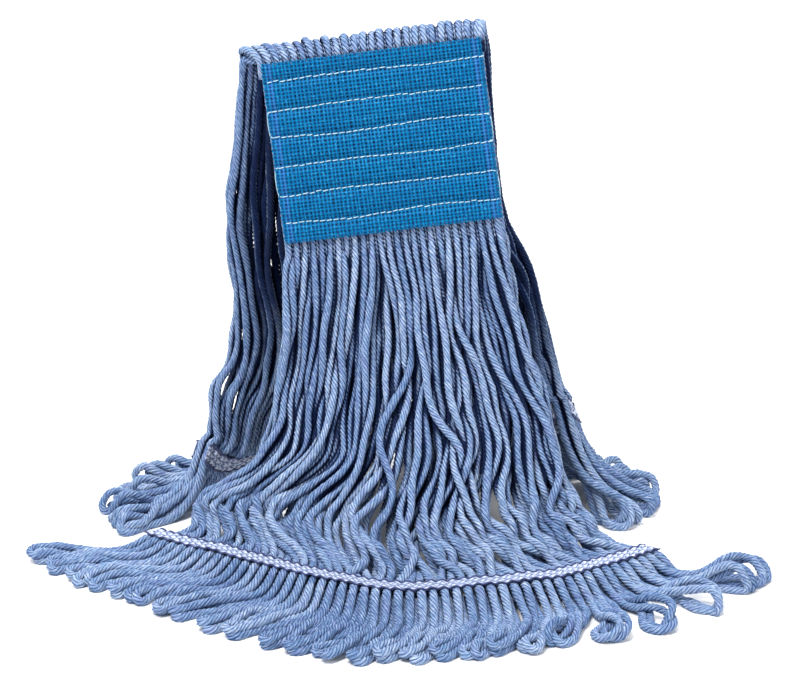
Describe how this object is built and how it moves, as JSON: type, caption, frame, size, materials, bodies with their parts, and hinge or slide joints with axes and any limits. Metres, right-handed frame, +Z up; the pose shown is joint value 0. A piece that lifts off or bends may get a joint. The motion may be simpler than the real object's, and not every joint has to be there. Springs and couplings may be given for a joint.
{
  "type": "string mop head",
  "caption": "Looped-end wet mop head: a stitched mesh headband standing upright on yarn that spreads over the floor in front and behind, with braided tail bands near the loop ends.",
  "frame": {"origin": "on the floor, under the middle of the object's box", "axes": "+Z up; the headband's front face looks along -Y; +X is to the right of somebody who faces the headband, and is the object's longest side"},
  "size_m": [0.5245, 0.3841, 0.3712],
  "materials": {
    "coated_mesh": "open-weave polyester mesh with a vivid blue plastic coating, slightly glossy",
    "yarn": "thick twisted blended yarn, heathered light steel blue, matt and softly fuzzy",
    "thread": "white polyester sewing thread",
    "tail_band": "flat braided tape, pale grey with dark flecks",
    "tail_band_edging": "navy overlocking thread along the tape's edges"
  },
  "bodies": {
    "headband": {"headband_front_mesh": "coated_mesh", "headband_back_mesh": "coated_mesh", "headband_yarn_core": "yarn", "top_fold_yarn": "yarn", "front_stitch_row_1": "thread", "front_stitch_row_2": "thread", "front_stitch_row_3": "thread", "front_stitch_row_4": "thread", "front_stitch_row_5": "thread", "front_stitch_row_6": "thread", "back_stitch_row_1": "thread", "back_stitch_row_2": "thread", "back_stitch_row_3": "thread", "back_stitch_row_4": "thread", "back_stitch_row_5": "thread", "back_stitch_row_6": "thread"},
    "front_half": {"front_yarn_lock_1": "yarn", "front_yarn_lock_2": "yarn", "front_yarn_lock_3": "yarn", "front_yarn_lock_4": "yarn", "front_yarn_lock_5": "yarn", "front_yarn_lock_6": "yarn", "front_yarn_lock_7": "yarn", "front_yarn_lock_8": "yarn", "front_yarn_lock_9": "yarn", "front_tail_band_upper": "tail_band", "front_tail_band_lower": "tail_band", "front_tail_upper_inner_edge": "tail_band_edging", "front_tail_upper_outer_edge": "tail_band_edging", "front_tail_lower_inner_edge": "tail_band_edging", "front_tail_lower_outer_edge": "tail_band_edging"},
    "rear_half": {"rear_yarn_lock_1": "yarn", "rear_yarn_lock_2": "yarn", "rear_yarn_lock_3": "yarn", "rear_yarn_lock_4": "yarn", "rear_yarn_lock_5": "yarn", "rear_yarn_lock_6": "yarn", "rear_yarn_lock_7": "yarn", "rear_yarn_lock_8": "yarn", "rear_tail_band_outer": "tail_band", "rear_tail_band_inner": "tail_band", "rear_tail_outer_inner_edge": "tail_band_edging", "rear_tail_outer_outer_edge": "tail_band_edging", "rear_tail_inner_inner_edge": "tail_band_edging", "rear_tail_inner_outer_edge": "tail_band_edging"}
  },
  "joints": [
    {"name": "front_half_bend", "type": "hinge", "parent": "headband", "child": "front_half", "pos_m": [-0.00072, 0.03141, 0.21888], "axis": [-0.992, 0, -0.1264], "range_deg": [0, 75]},
    {"name": "rear_half_bend", "type": "hinge", "parent": "headband", "child": "rear_half", "pos_m": [-0.01653, 0.05751, 0.34295], "axis": [0.992, 0, 0.1264], "range_deg": [0, 80]}
  ]
}
